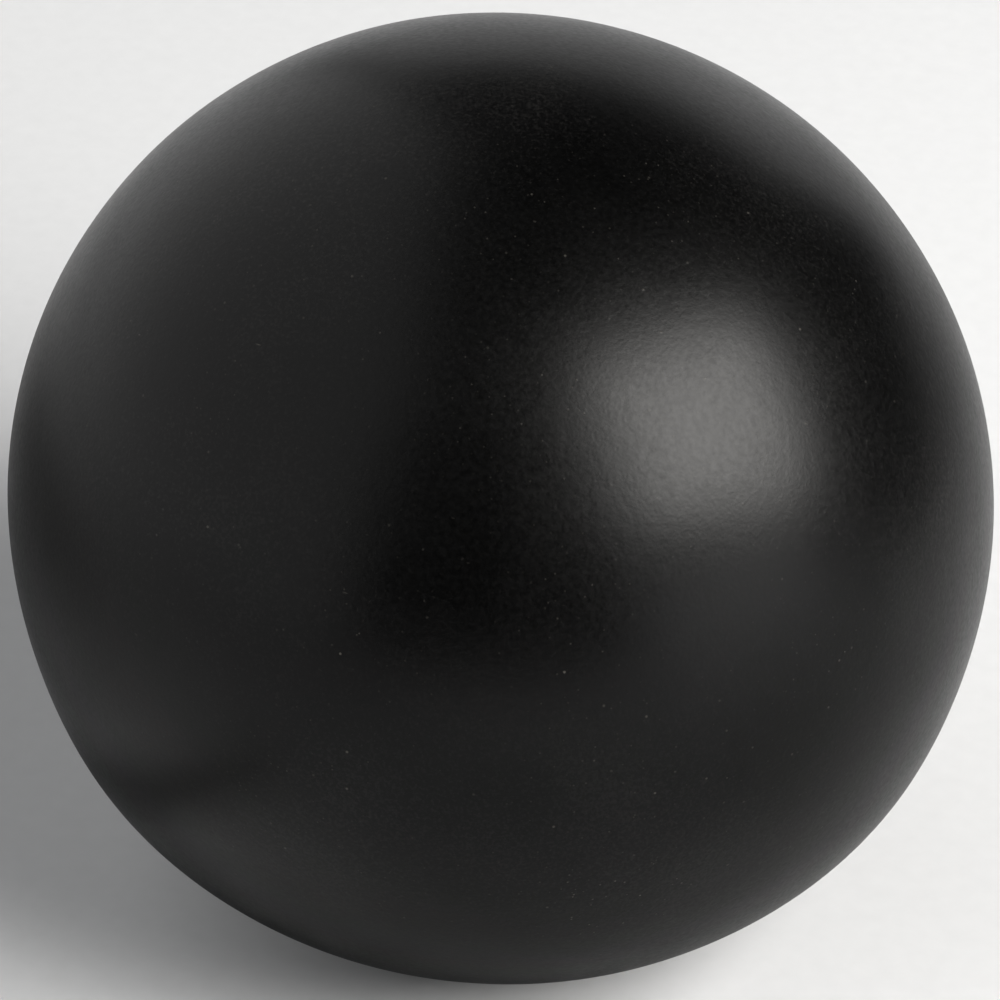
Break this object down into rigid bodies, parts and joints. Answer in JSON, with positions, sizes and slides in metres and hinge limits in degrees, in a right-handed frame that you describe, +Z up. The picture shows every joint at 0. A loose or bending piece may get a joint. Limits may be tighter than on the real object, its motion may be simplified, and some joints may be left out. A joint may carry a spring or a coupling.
{
  "type": "case opening friction ball",
  "caption": "Soft, tacky, air-filled rubber ball that grips a screw watch back by friction to open or close it.",
  "frame": {"origin": "middle of the flat on which the soft ball rests, under the middle of its bounding box", "axes": "+Z up, +Y towards the inflation valve, +X completes the right-handed frame and is the widest direction"},
  "size_m": [0.066, 0.0638, 0.0617],
  "materials": {
    "friction_rubber": "near-black, matte and tacky, with a fine orange-peel grain",
    "carcass_rubber": "charcoal, dull from the mould",
    "liner_rubber": "tan gum rubber, dull",
    "valve_rubber": "black, satin from the mould",
    "core_rubber": "brown, soft, slightly greased"
  },
  "bodies": {
    "root": {"friction_cover": "friction_rubber", "valve_half_shell": "carcass_rubber", "plain_half_shell": "carcass_rubber", "seam_strip": "liner_rubber", "valve_patch": "liner_rubber", "valve_body": "valve_rubber", "valve_core": "core_rubber"}
  },
  "joints": []
}
